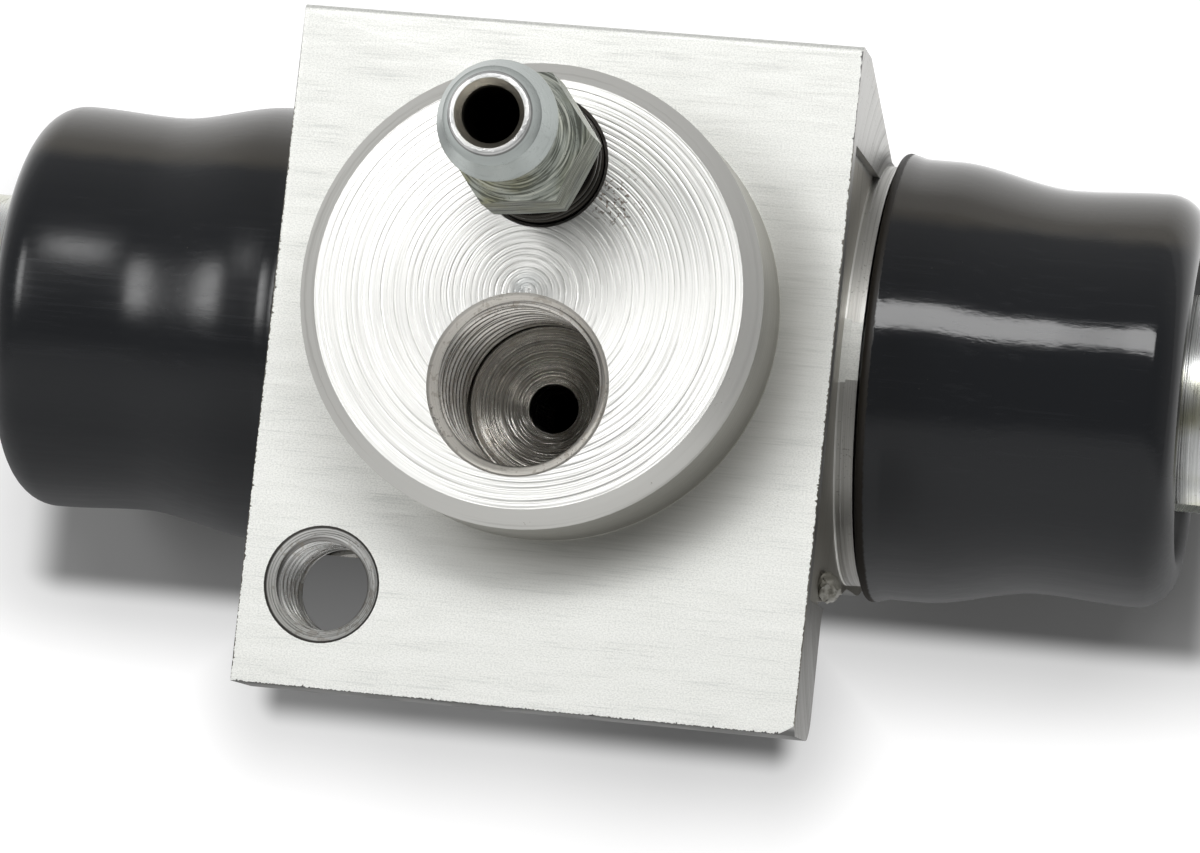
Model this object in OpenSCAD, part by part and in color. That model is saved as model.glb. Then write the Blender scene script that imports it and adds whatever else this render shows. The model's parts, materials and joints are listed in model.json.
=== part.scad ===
// Hydraulic drum-brake wheel cylinder with two opposed pistons.
// Millimetres. The origin is on the spigot axis at the mounting face,
// +Z points out of the spigot and X runs along the bore.

/* [Block] */
// Length of the extruded block along the bore
block_l = 32.3; // [30:0.1:38]
// Height of the mounting face above the spigot axis
face_up = 16.5; // [15:0.1:19]
// Depth of the mounting face below the spigot axis
face_down = 22.5; // [21.5:0.1:27]
// Thickness of the bolt flange
flange_t = 6.8; // [5:0.1:8]
// Distance from the mounting face down to the bore axis
axis_drop = 19.1; // [18:0.1:23]
// Height of the straight part of the upper wall
lip_h = 3.8; // [2:0.1:6]
// Distance of the lower wall from the spigot axis, behind the flange
under_y = 14.5; // [14.2:0.1:16]
// Width of the housing at the bore axis
housing_w = 25.4; // [25.2:0.1:28]
// Distance from the bore axis to the flat back
back_drop = 13.4; // [13.3:0.1:15]
// Radius of the two back edges
back_r = 7.7; // [4:0.1:9]
// Rounding of the flange's back edge and of the fillet beside it
flange_r = 1.5; // [0.8:0.1:2]
// Rounding of the edge between the mounting face and the upper wall
face_r = 0.4; // [0.2:0.1:1.8]

/* [Spigot] */
// Diameter of the spigot that locates the block
spigot_d = 26; // [24:0.1:28]
// Height of the spigot above the mounting face
spigot_h = 7.9; // [6:0.1:10]
// Chamfer of the spigot's edge
spigot_c = 1; // [0.5:0.1:1.5]

/* [Bore and necks] */
// Diameter of the bore
bore_d = 17.46; // [15.87:0.01:19.05]
// Chamfer at both mouths of the bore
bore_c = 0.5; // [0.3:0.1:0.8]
// Length of each turned neck
neck_l = 5.5; // [5:0.1:7]
// Diameter of the collar beside the block
collar_d = 25; // [24.6:0.1:25.2]
// Length of the collar
collar_l = 0.7; // [0.5:0.1:1]
// Diameter of the land that holds the boot on
land_d = 24; // [23.6:0.1:24.4]
// Depth of the groove for the boot's bead
bead_depth = 0.6; // [0.4:0.1:0.8]
// Width of the groove for the boot's bead
bead_w = 2.6; // [2:0.1:3]

/* [Brake line port] */
// Distance of the port below the spigot axis
port_y = 5.1; // [4.5:0.1:6]
// Diameter of the tapped hole inside its thread
port_d = 8.92; // [8.5:0.01:9.2]
// Diameter of the port's mouth
port_mouth_d = 10.25; // [9.6:0.05:10.6]
// Depth of the tapped hole, without its drill point
port_depth = 10; // [8:0.1:12]
// Diameter of the feed hole into the bore
feed_d = 2.86; // [2:0.01:3.4]

/* [Bolt hole] */
// Distance of the bolt hole from the spigot axis along the bore
bolt_x = 11.5; // [10.5:0.1:12.4]
// Distance of the bolt hole below the spigot axis
bolt_y = 16.6; // [16:0.1:18]
// Diameter of the tapped bolt hole inside its thread
bolt_d = 5; // [4.8:0.01:5.4]
// Diameter of the bolt hole's mouth
bolt_mouth_d = 6.7; // [6:0.1:7]

/* [Bleed screw] */
// Distance of the bleed screw above the spigot axis
bleed_y = 7.4; // [7:0.1:7.8]
// Diameter of the bleed screw's thread
bleed_d = 7; // [6:0.1:8]
// Diameter of the mouth of its hole
bleed_mouth_d = 7.5; // [7.2:0.1:8.6]
// Depth of its hole down to the seat
bleed_depth = 11; // [9:0.1:12]
// Diameter of the passage from the seat to the bore
bleed_bore_d = 2; // [1.4:0.1:2.4]
// Width of the hexagon across its flats
hex_af = 7; // [6:0.1:8]
// Height of the hexagon
hex_h = 5; // [4:0.1:6]
// Gap below the hexagon
hex_gap = 3.5; // [2:0.1:5]
// Turn of the hexagon away from the bore axis, in degrees
hex_turn = 7.4; // [-30:0.1:30]
// Height of the nipple above the hexagon
nipple_h = 7.4; // [6:0.1:10]
// Largest diameter of the nipple's hose bulb
bulb_d = 6.55; // [6:0.05:7]
// Diameter of the waist under the bulb
waist_d = 5; // [4.6:0.1:5.6]
// Diameter of the nipple's tip
tip_d = 4.42; // [3.8:0.02:4.6]
// Diameter of the nipple's hole
nipple_hole_d = 3.1; // [2.6:0.1:3.4]
// Diameter of the drilling behind it
drilling_d = 1.8; // [1.4:0.1:2.2]

/* [Pistons] */
// Distance between the inner faces of the pistons at rest
piston_gap = 17; // [15:0.1:20]
// Length of the piston's skirt
skirt_l = 12; // [10:0.1:14]
// Diameter of the piston's nose
nose_d = 13.3; // [12:0.1:14]
// Length of the nose beyond the boot
nose_out = 3.9; // [3:0.1:6]
// Width of the slot for the shoe
slot_w = 5; // [4.6:0.1:7]
// Depth of the slot for the shoe
slot_depth = 4.6; // [4.4:0.1:6]
// Depth of the groove for the boot's lip
lip_depth = 0.6; // [0.4:0.1:1]
// Width of the groove for the boot's lip
lip_w = 2; // [1.6:0.1:2.4]

/* [Boots] */
// Gap between the block and the boot
boot_gap = 0.9; // [0.8:0.1:1.6]
// Length of the boot
boot_l = 18.1; // [17:0.1:21]
// Thickness of the boot's flared end over the land
flare_t = 1.02; // [0.9:0.01:1.3]
// Diameter of the boot's waist
boot_waist_d = 23.9; // [23:0.1:24.4]
// Diameter of the boot's bulging outer end
boot_end_d = 24.4; // [23:0.1:25.4]
// Length of the flared end
flare_l = 3.6; // [3:0.1:4.6]
// Length of the swing from the flare to the waist
swing_l = 6.2; // [5:0.1:7]
// Thickness of the boot's wall
boot_wall = 1.2; // [1:0.1:1.4]
// Rounding of the boot's outer end
boot_end_r = 2.3; // [1.6:0.1:2.6]
// Depth of the recess in the boot's outer end
boot_recess = 4.2; // [3.6:0.1:5]

/* [Seals and spring] */
// Thickness of a cup seal's base
cup_base = 1.7; // [1.4:0.1:2.2]
// Height of a cup seal's lip
cup_lip_h = 1.8; // [1.2:0.1:2.4]
// Thickness of a cup seal's lip
cup_lip_t = 1.5; // [1.2:0.1:2]
// Diameter of a spring seat
seat_d = 11; // [10.4:0.1:12]
// Thickness of a spring seat
seat_t = 0.8; // [0.6:0.1:1.2]
// Mean diameter of the spring
spring_d = 8.4; // [7:0.1:9]
// Diameter of the spring's wire
wire_d = 0.9; // [0.7:0.1:1.1]
// Turns of the spring
spring_turns = 5; // [4:0.5:6]

/* [Fits] */
// Radial clearance of a piston or a thread in its hole
run_gap = 0.05; // [0.03:0.01:0.08]
// Clearance of rubber on metal
rubber_gap = 0.08; // [0.05:0.01:0.12]

/* [Hidden] */
$fn = 72;
eps = 0.01;

left = -1;
right = 1;
half_l = block_l / 2;
half_w = housing_w / 2;
back_z = axis_drop + back_drop;
neck_end = half_l + neck_l;
bore_r = bore_d / 2;
spigot_r = spigot_d / 2;
collar_r = collar_d / 2;
land_r = land_d / 2;
groove_r = land_r - bead_depth;
groove_start = half_l + collar_l;
groove_end = groove_start + bead_w;

hex_z = spigot_h + hex_gap;
hex_top = hex_z + hex_h;
tip_z = hex_top + nipple_h;
bleed_r = bleed_d / 2;
bleed_hole_r = bleed_r + run_gap;
seat_z = spigot_h - bleed_depth;
bleed_bore_r = bleed_bore_d / 2;
thread_relief = 0.5;

boot_start = half_l + boot_gap;
boot_end = boot_start + boot_l;
lip_end = boot_end - boot_recess;
lip_start = lip_end - lip_w;
nose_r = nose_d / 2;
nose_end = boot_end + nose_out;
lip_r = nose_r - lip_depth;
piston_in = piston_gap / 2;
skirt_r = bore_r - run_gap;
edge_c = 0.4;

cup_face = piston_in - cup_base;
seat_face = cup_face - seat_t;
spring_half = seat_face - rubber_gap;

skirt_in = land_r + rubber_gap;
flare_r = skirt_in + flare_t;
boot_waist_r = boot_waist_d / 2;
boot_end_rad = boot_end_d / 2;
swing_start = boot_start + flare_l;
swing_end = swing_start + swing_l;
bulge_end = boot_end - boot_end_r;

// Eased share of a step from 0 to 1
function ease(t) = t * t * (3 - 2 * t);
// Value between a and b
function mix(a, b, t) = a + (b - a) * t;

// Turns its children so that their Z axis runs out along the bore on one side
module on_bore(side) {
    translate([0, 0, -axis_drop]) rotate([0, side * 90, 0]) children();
}

// Solid of revolution from points of radius and height
module turned(points) {
    rotate_extrude() polygon(points);
}

// Waste between a square corner and the arc that rounds it
module corner_waste(r) {
    difference() {
        square(r);
        translate([r, r]) circle(r);
    }
}

// Section of the extruded block, with Y across and Z up
module block_section() {
    flat = half_w - back_r;
    upper_bend = 1.2;
    lower_bend = 1;
    under_bend = 4;
    under_step = 0.7;
    difference() {
        union() {
            polygon([
                [-face_down, 0],
                [face_up, 0],
                [face_up, -lip_h],
                [half_w, -axis_drop + upper_bend],
                [half_w, -back_z + back_r],
                [flat, -back_z],
                [-flat, -back_z],
                [-half_w, -back_z + back_r],
                [-half_w, -axis_drop - lower_bend],
                [-under_y + under_step, -axis_drop + under_bend],
                [-under_y, -flange_t],
                [-face_down, -flange_t]
            ]);
            for (side = [left, right])
                translate([side * flat, -back_z + back_r]) circle(back_r);
        }
        translate([-face_down, -flange_t]) corner_waste(flange_r);
        translate([face_up, 0]) rotate(180) corner_waste(face_r);
    }
    translate([-under_y + eps, -flange_t + eps]) rotate(180) corner_waste(flange_r);
}

// Extruded block with its spigot and both turned necks
module block_solid() {
    translate([-half_l, 0, 0]) rotate([90, 0, 90]) linear_extrude(block_l) block_section();
    translate([0, 0, -eps]) cylinder(h = spigot_h - spigot_c + eps, r = spigot_r);
    translate([0, 0, spigot_h - spigot_c])
        cylinder(h = spigot_c, r1 = spigot_r, r2 = spigot_r - spigot_c);
    for (side = [left, right]) on_bore(side) turned([
        [0, 0],
        [collar_r, 0],
        [collar_r, groove_start],
        [groove_r, groove_start],
        [groove_r, groove_end],
        [land_r, groove_end],
        [land_r, neck_end - edge_c],
        [land_r - edge_c, neck_end],
        [0, neck_end]
    ]);
}

// Bore along the block, chamfered at both mouths
module bore_cut() {
    on_bore(right) translate([0, 0, -neck_end - 1]) cylinder(h = 2 * neck_end + 2, r = bore_r);
    for (side = [left, right])
        on_bore(side) translate([0, 0, neck_end - bore_c])
            cylinder(h = bore_c + eps, r1 = bore_r, r2 = bore_r + bore_c);
}

// Tapped hole for the brake line, with its drill point and feed hole
module port_cut() {
    port_r = port_d / 2;
    mouth_c = (port_mouth_d - port_d) / 2;
    feed_r = feed_d / 2;
    point_h = (port_r - feed_r) / tan(59);
    translate([0, -port_y, 0]) {
        translate([0, 0, spigot_h - port_depth]) cylinder(h = port_depth + 1, r = port_r);
        translate([0, 0, spigot_h - mouth_c])
            cylinder(h = mouth_c + eps, r1 = port_r, r2 = port_r + mouth_c);
        translate([0, 0, spigot_h - port_depth - point_h])
            cylinder(h = point_h + eps, r1 = feed_r, r2 = port_r);
        translate([0, 0, -axis_drop]) cylinder(h = axis_drop + spigot_h - port_depth, r = feed_r);
    }
}

// Tapped hole through the flange, chamfered at the mounting face and spot-faced behind
module bolt_cut() {
    mouth_c = (bolt_mouth_d - bolt_d) / 2;
    translate([-bolt_x, -bolt_y, 0]) {
        translate([0, 0, -flange_t - eps]) cylinder(h = flange_t + 1, d = bolt_d);
        translate([0, 0, -mouth_c]) cylinder(h = mouth_c + eps, d1 = bolt_d, d2 = bolt_mouth_d);
        translate([0, 0, -flange_t - flange_r]) cylinder(h = flange_r, d = bolt_mouth_d);
    }
}

// Hole, seat and passage for the bleed screw
module bleed_cut() {
    mouth_c = bleed_mouth_d / 2 - bleed_hole_r;
    cone_h = bleed_hole_r - bleed_bore_r;
    translate([0, bleed_y, 0]) {
        translate([0, 0, seat_z]) cylinder(h = bleed_depth + 1, r = bleed_hole_r);
        translate([0, 0, spigot_h - mouth_c])
            cylinder(h = mouth_c + eps, r1 = bleed_hole_r, r2 = bleed_hole_r + mouth_c);
        translate([0, 0, seat_z - cone_h])
            cylinder(h = cone_h + eps, r1 = bleed_bore_r, r2 = bleed_hole_r);
        translate([0, 0, -axis_drop]) cylinder(h = axis_drop + seat_z, r = bleed_bore_r);
    }
}

module body() {
    color("gainsboro") difference() {
        block_solid();
        bore_cut();
        port_cut();
        bolt_cut();
        bleed_cut();
    }
}

// Hexagon with its corners turned off at both ends
module hexagon() {
    corner_r = hex_af / 2 / cos(30);
    end_r = hex_af / 2 - 0.1;
    outer_r = corner_r + 1;
    bevel = (outer_r - end_r) * tan(30);
    translate([0, 0, hex_z]) intersection() {
        rotate(hex_turn) cylinder(h = hex_h, r = corner_r, $fn = 6);
        turned([
            [0, 0],
            [end_r, 0],
            [outer_r, bevel],
            [outer_r, hex_h - bevel],
            [end_r, hex_h],
            [0, hex_h]
        ]);
    }
}

module bleed_screw() {
    bulb_r = bulb_d / 2;
    waist_r = waist_d / 2;
    tip_r = tip_d / 2;
    bulb_z = tip_z - (bulb_r - tip_r) * 2;
    stem_r = bleed_r - thread_relief;
    cone_z = seat_z - (bleed_hole_r - stem_r) + 2 * run_gap;
    seat_lap = 0.3;
    cone_r = bleed_bore_r + seat_lap;
    drill_floor = 0.6;
    drill_z = seat_z + drill_floor;
    lead_h = 2;
    runout_h = 1.4;
    shoulder_h = 1.6;
    bulb_rise = 0.8;
    bulb_land = 0.4;
    cross_r = drilling_d / 2 - 0.1;
    color("lightsteelblue") translate([0, bleed_y, 0]) difference() {
        union() {
            hexagon();
            turned([
                [0, cone_z - (stem_r - cone_r)],
                [cone_r, cone_z - (stem_r - cone_r)],
                [stem_r, cone_z],
                [stem_r, seat_z + lead_h],
                [bleed_r, seat_z + lead_h + thread_relief],
                [bleed_r, hex_z - runout_h],
                [stem_r, hex_z - runout_h + thread_relief],
                [stem_r, hex_top],
                [hex_af / 2 - 0.2, hex_top],
                [waist_r, hex_top + shoulder_h],
                [waist_r, bulb_z - bulb_land - bulb_rise],
                [bulb_r, bulb_z - bulb_land],
                [bulb_r, bulb_z],
                [tip_r, tip_z],
                [0, tip_z]
            ]);
        }
        translate([0, 0, hex_top]) cylinder(h = nipple_h + 1, d = nipple_hole_d);
        translate([0, 0, drill_z]) cylinder(h = hex_top - drill_z + eps, d = drilling_d);
        translate([-bleed_d, 0, drill_z + cross_r]) rotate([0, 90, 0])
            cylinder(h = 2 * bleed_d, r = cross_r);
    }
}

// Piston with a running skirt and a slotted nose
module piston(side) {
    color("darkkhaki") difference() {
        on_bore(side) turned([
            [0, piston_in],
            [skirt_r - edge_c, piston_in],
            [skirt_r, piston_in + edge_c],
            [skirt_r, piston_in + skirt_l - edge_c],
            [skirt_r - edge_c, piston_in + skirt_l],
            [nose_r, piston_in + skirt_l],
            [nose_r, lip_start],
            [lip_r, lip_start],
            [lip_r, lip_end],
            [nose_r, lip_end],
            [nose_r, nose_end - edge_c],
            [nose_r - edge_c, nose_end],
            [0, nose_end]
        ]);
        on_bore(side) translate([-slot_w / 2, -nose_d, nose_end - slot_depth])
            cube([slot_w, 2 * nose_d, slot_depth + 1]);
    }
}

module piston_left() {
    piston(left);
}

module piston_right() {
    piston(right);
}

// Cup seal whose lip faces the pressure side
module cup_seal(side) {
    lip_tip = cup_face - cup_lip_h;
    color("dimgray") on_bore(side) turned([
        [0, cup_face],
        [skirt_r - cup_lip_t - 0.6, cup_face],
        [skirt_r - cup_lip_t * 0.6, lip_tip],
        [skirt_r, lip_tip],
        [skirt_r, lip_tip + 0.8],
        [skirt_r - 0.2, piston_in],
        [0, piston_in]
    ]);
}

module cup_seal_left() {
    cup_seal(left);
}

module cup_seal_right() {
    cup_seal(right);
}

// Pressed disc that spreads the spring's load over the cup seal
module spring_seat(side) {
    pip_r = (spring_d - wire_d) / 2 - 0.3;
    color("silver") on_bore(side) turned([
        [0, seat_face - seat_t],
        [pip_r - 0.4, seat_face - seat_t],
        [pip_r, seat_face],
        [seat_d / 2, seat_face],
        [seat_d / 2, cup_face],
        [0, cup_face]
    ]);
}

module spring_seat_left() {
    spring_seat(left);
}

module spring_seat_right() {
    spring_seat(right);
}

// Coil spring swept round the bore axis, with a closed turn at each end
module spring() {
    steps = 20;
    sides = 8;
    wire_r = wire_d / 2;
    coil_r = spring_d / 2;
    count = round(spring_turns * steps);
    free_half = spring_half - wire_r;
    closed = 0.75;
    function rise(turn) = mix(-free_half, free_half,
        ease(min(1, max(0, (turn - closed) / (spring_turns - 2 * closed)))));
    points = [
        for (i = [0 : count]) for (j = [0 : sides - 1])
            let (turn = i / steps, a = 360 * turn, b = 360 * j / sides)
            let (r = coil_r + wire_r * cos(b))
            [r * cos(a), r * sin(a), rise(turn) + wire_r * sin(b)]
    ];
    walls = [
        for (i = [0 : count - 1]) for (j = [0 : sides - 1])
            let (a = i * sides + j, b = i * sides + (j + 1) % sides)
            [a, b, b + sides, a + sides]
    ];
    first = [for (j = [sides - 1 : -1 : 0]) j];
    last = [for (j = [0 : sides - 1]) count * sides + j];
    color("slategray") on_bore(right) polyhedron(points, concat([first], walls, [last]));
}

// Rubber boot that grips the neck's groove and the piston's nose
module boot(side) {
    swing_steps = 8;
    bulge_steps = 4;
    round_steps = 8;
    edge = 0.4;
    bead_in = groove_r + rubber_gap;
    grip_in = lip_r + rubber_gap;
    rim_r = boot_end_rad - boot_end_r;
    rim_t = 1.2;
    outside = concat(
        [[flare_r - edge, boot_start], [flare_r, boot_start + edge]],
        [for (i = [0 : swing_steps]) let (t = i / swing_steps)
            [mix(flare_r, boot_waist_r, ease(t)), mix(swing_start, swing_end, t)]],
        [for (i = [1 : bulge_steps]) let (t = i / bulge_steps)
            [mix(boot_waist_r, boot_end_rad, ease(t)), mix(swing_end, bulge_end, t)]],
        [for (i = [1 : round_steps]) let (a = 90 * i / round_steps)
            [rim_r + boot_end_r * cos(a), bulge_end + boot_end_r * sin(a)]]
    );
    recess = [
        [rim_r - rim_t / 2, boot_end - rim_t / 4],
        [nose_r + 1, lip_end],
        [nose_r, lip_end - rubber_gap],
        [grip_in, lip_end - rubber_gap],
        [grip_in, lip_start + rubber_gap],
        [nose_r + 0.8, lip_start + rubber_gap]
    ];
    inside = [
        [rim_r - rim_t / 2, boot_end - rim_t - boot_end_r * 0.6],
        [rim_r + boot_end_r - boot_wall, bulge_end - boot_end_r * 0.6],
        [boot_waist_r - boot_wall, swing_end],
        [boot_waist_r - boot_wall, mix(swing_start, swing_end, 0.75)],
        [skirt_in, neck_end + 0.3],
        [skirt_in, groove_end - rubber_gap],
        [bead_in, groove_end - rubber_gap],
        [bead_in, boot_start]
    ];
    color([0.13, 0.13, 0.14]) on_bore(side) turned(concat(outside, recess, inside));
}

module boot_left() {
    boot(left);
}

module boot_right() {
    boot(right);
}

body();
bleed_screw();
piston_left();
piston_right();
cup_seal_left();
cup_seal_right();
spring_seat_left();
spring_seat_right();
spring();
boot_left();
boot_right();
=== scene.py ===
import json
import math
import random

import bpy
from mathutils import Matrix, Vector


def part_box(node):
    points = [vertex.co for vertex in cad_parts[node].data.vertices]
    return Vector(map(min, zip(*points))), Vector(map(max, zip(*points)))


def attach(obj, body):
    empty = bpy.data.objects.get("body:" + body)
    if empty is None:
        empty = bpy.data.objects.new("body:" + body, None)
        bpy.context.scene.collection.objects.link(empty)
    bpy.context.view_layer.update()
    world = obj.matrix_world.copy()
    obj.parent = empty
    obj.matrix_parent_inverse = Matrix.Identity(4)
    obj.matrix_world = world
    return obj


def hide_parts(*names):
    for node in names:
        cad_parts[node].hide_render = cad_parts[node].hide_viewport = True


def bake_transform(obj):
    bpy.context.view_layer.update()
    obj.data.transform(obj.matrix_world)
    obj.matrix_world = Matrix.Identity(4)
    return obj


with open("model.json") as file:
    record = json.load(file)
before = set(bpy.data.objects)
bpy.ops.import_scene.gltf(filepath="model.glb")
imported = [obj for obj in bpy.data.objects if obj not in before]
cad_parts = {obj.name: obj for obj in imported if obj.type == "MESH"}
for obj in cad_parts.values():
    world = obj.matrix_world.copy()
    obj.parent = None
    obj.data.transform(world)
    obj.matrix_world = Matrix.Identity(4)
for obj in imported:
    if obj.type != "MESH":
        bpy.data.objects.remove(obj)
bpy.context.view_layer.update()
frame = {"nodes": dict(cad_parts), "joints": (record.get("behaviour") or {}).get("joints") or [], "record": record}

# Sizes from the frame, in metres
MM = 0.001
mounts = {mount["name"]: mount for mount in frame["record"]["mounts"]}
joints = {joint["name"]: joint for joint in frame["joints"]}
body_low, body_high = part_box("body")
bleed_low, bleed_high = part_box("bleed_screw")
piston_low, piston_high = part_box("piston_right")
boot_low, boot_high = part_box("boot_right")
spigot_top = body_high.z
spigot_r = mounts["spigot"]["dims"]["r_mm"] * MM
port = Vector(mounts["brake_line_port"]["pos_m"])
port_r = mounts["brake_line_port"]["dims"]["r_mm"] * MM
bolt = Vector(mounts["bolt_hole"]["pos_m"])
bolt_r = mounts["bolt_hole"]["dims"]["r_mm"] * MM
bleed_axis = Vector(joints["bleed_screw_turn"]["pos_m"])
bore_axis = Vector((0, 0, (piston_low.z + piston_high.z) / 2))
floor_z = body_low.z
neck_end = body_high.x

# Sizes that the frame doesn't hold, in metres
BLOCK_HALF = 16.15 * MM
PORT_MOUTH_R = 5.125 * MM
PORT_CREST_R = 5.0 * MM
BOLT_MOUTH_R = 3.35 * MM
BOLT_CREST_R = 3.0 * MM
BLEED_MOUTH_R = 3.75 * MM
THREAD_PITCH = 1.0 * MM
PORT_THREAD_END = -1.2 * MM
EDGE_STEP = 0.12 * MM
EDGE_BAND = 0.4 * MM
TEAR = 0.08 * MM
COLLAR_R = 12.5 * MM
FACED_END = 15.75 * MM
FACED_LOW, FACED_HIGH, FACED_FRONT = -14.8 * MM, 11.0 * MM, -1.2 * MM
HEAD_EDGE = 0.45 * MM
HOLES_LOW = -9 * MM
THREAD_SUNK = 0.06 * MM
BURR_PLACE = Vector((15.95, -13.4, -9.5)) * MM
BURR_STRETCH = (0.75, 0.85, 2.6)
CAMERA_PLACE = Vector((56.245, -34.742, 301.274)) * MM
CAMERA_TURN = (6.3475, 9.3213, 6.125)
CAMERA_LENS, CAMERA_SENSOR = 163.798, 36

# How close counts as on a surface, and how square counts as facing one way
NEAR = 0.01 * MM
MOUTH_SLACK = 0.02 * MM
SQUARE = 0.999

# Finishes of the block, in the order of its material slots
PLATE, FACE, RIM, END, NECK, SKIN, PORT_WALL, BOLT_WALL = range(8)

random.seed(7)


# Modelling helpers

def select_only(piece):
    """Makes one object the only selected one and the active one."""
    if bpy.context.object and bpy.context.object.mode != "OBJECT":
        bpy.ops.object.mode_set(mode="OBJECT")
    bpy.ops.object.select_all(action="DESELECT")
    piece.select_set(True)
    bpy.context.view_layer.objects.active = piece


def edit(piece, mode="VERT"):
    """Opens a piece in edit mode with nothing selected."""
    select_only(piece)
    bpy.ops.object.mode_set(mode="EDIT")
    bpy.ops.mesh.select_mode(type=mode)
    bpy.ops.mesh.select_all(action="DESELECT")


def edit_all(piece):
    """Opens a piece in edit mode with all of it selected."""
    edit(piece)
    bpy.ops.mesh.select_all(action="SELECT")


def done():
    """Returns to object mode."""
    bpy.ops.object.mode_set(mode="OBJECT")


def add(operator, name, **settings):
    """Adds an object with nothing else selected, and names it and its data."""
    bpy.ops.object.select_all(action="DESELECT")
    operator(**settings)
    piece = bpy.context.object
    piece.name = name
    piece.data.name = name
    return piece


def select_vertices(piece, chosen):
    """Selects only the vertices whose place passes a test, and returns to edit mode."""
    bpy.ops.mesh.select_all(action="DESELECT")
    done()
    for vertex in piece.data.vertices:
        vertex.select = bool(chosen(vertex.co))
    bpy.ops.object.mode_set(mode="EDIT")


def select_edges(piece, chosen):
    """Selects the edges whose two ends pass a test together; says whether there are any."""
    done()
    vertices = piece.data.vertices
    for edge in piece.data.edges:
        edge.select = bool(chosen(*(vertices[i].co for i in edge.vertices)))
    found = any(edge.select for edge in piece.data.edges)
    bpy.ops.object.mode_set(mode="EDIT")
    return found


def close_up():
    """Merges doubles of the open piece and turns its faces outwards."""
    bpy.ops.mesh.select_all(action="SELECT")
    bpy.ops.mesh.remove_doubles(threshold=0.0005 * MM)
    bpy.ops.mesh.normals_make_consistent(inside=False)


def smooth(piece, angle=30):
    """Shades a piece smooth across edges flatter than an angle in degrees."""
    select_only(piece)
    bpy.ops.object.shade_smooth_by_angle(angle=math.radians(angle))


def lathe(name, profile, centre, axis, steps=96):
    """Turns a closed profile of points about an axis: one vertex, extruded along it and spun."""
    piece = add(bpy.ops.mesh.primitive_plane_add, name, size=MM)
    bpy.ops.object.mode_set(mode="EDIT")
    bpy.ops.mesh.select_mode(type="VERT")
    bpy.ops.mesh.merge(type="CENTER")
    bpy.ops.transform.translate(value=profile[0])
    for start, end in zip(profile, profile[1:]):
        bpy.ops.mesh.extrude_vertices_move(TRANSFORM_OT_translate={"value": end - start})
    bpy.ops.mesh.select_all(action="SELECT")
    bpy.ops.mesh.spin(steps=steps, angle=math.tau, center=centre, axis=axis)
    close_up()
    done()
    return piece


def arc(centre, radius, start, end, steps):
    """Points of radius and height on an arc, with angles in degrees from the radius axis."""
    angles = [math.radians(start + (end - start) * i / steps) for i in range(steps + 1)]
    return [(centre[0] + radius * math.cos(a), centre[1] + radius * math.sin(a)) for a in angles]


def lathe_upright(name, section, axis):
    """Turns a section of radius and height about an upright axis."""
    points = [Vector((axis.x + r, axis.y, z)) for r, z in section]
    return lathe(name, points, (axis.x, axis.y, 0), (0, 0, 1))


def ease(share):
    """A smooth step from 0 to 1."""
    return share * share * (3 - 2 * share)


def copy_of_node(node, name):
    """A new piece from a copy of a CAD node's mesh, merged."""
    piece = bpy.data.objects.new(name, frame["nodes"][node].data.copy())
    piece.data.name = name
    bpy.context.scene.collection.objects.link(piece)
    piece.data.materials.clear()
    select_only(piece)
    bpy.ops.mesh.customdata_custom_splitnormals_clear()
    edit(piece)
    close_up()
    done()
    return piece


def boolean(piece, tool, operation):
    """Cuts, joins or intersects a piece with a tool, which is then removed."""
    select_only(piece)
    modifier = piece.modifiers.new(operation.lower(), "BOOLEAN")
    modifier.operation = operation
    modifier.solver = "EXACT"
    modifier.object = tool
    bpy.ops.object.modifier_apply(modifier=modifier.name)
    bpy.data.objects.remove(tool)


def thread_coil(centre, root_r, crest_r, start_z, turns):
    """A helical ridge of trapezium section, used as a thread cutter."""
    root_w, crest_w = 0.8 * THREAD_PITCH, 0.14 * THREAD_PITCH
    upright = (math.pi / 2, 0, 0)
    coil = add(bpy.ops.mesh.primitive_plane_add, "thread_cutter", size=1, rotation=upright)
    bpy.ops.object.transform_apply()
    bpy.ops.object.mode_set(mode="EDIT")
    bpy.ops.mesh.delete(type="ONLY_FACE")
    bpy.ops.mesh.select_all(action="SELECT")
    bpy.ops.transform.resize(value=(abs(crest_r - root_r), 1, root_w))
    outward = 1 if crest_r > root_r else -1
    select_vertices(coil, lambda co: co.x * outward > 0)
    bpy.ops.transform.resize(value=(1, 1, crest_w / root_w), center_override=(0, 0, 0))
    bpy.ops.mesh.select_all(action="SELECT")
    bpy.ops.transform.translate(value=((root_r + crest_r) / 2, 0, start_z))
    done()
    screw = coil.modifiers.new("helix", "SCREW")
    screw.axis = "Z"
    screw.angle = math.tau
    screw.screw_offset = -THREAD_PITCH
    screw.iterations = turns
    screw.steps = screw.render_steps = 64
    bpy.ops.object.modifier_apply(modifier=screw.name)
    edit_all(coil)
    bpy.ops.mesh.fill_holes(sides=4)
    close_up()
    bpy.ops.transform.translate(value=(centre.x, centre.y, 0))
    done()
    return coil


# Shader helpers

def node(tree, kind, sockets=None, **settings):
    """Adds a shader node; a socket given another node's output is linked to it."""
    made = tree.nodes.new("ShaderNode" + kind)
    for name, value in settings.items():
        setattr(made, name, value)
    for name, value in (sockets or {}).items():
        if isinstance(value, bpy.types.NodeSocket):
            tree.links.new(value, made.inputs[name])
        else:
            made.inputs[name].default_value = value
    return made


def join(kind, sockets, **settings):
    """Adds a shader node to the tree that its linked sockets come from."""
    linked = (value for value in sockets.values() if isinstance(value, bpy.types.NodeSocket))
    return node(next(linked).id_data, kind, sockets, **settings)


def set_socket(made, name, value):
    """Links a value to one of a node's sockets."""
    made.id_data.links.new(value, made.inputs[name])


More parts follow.
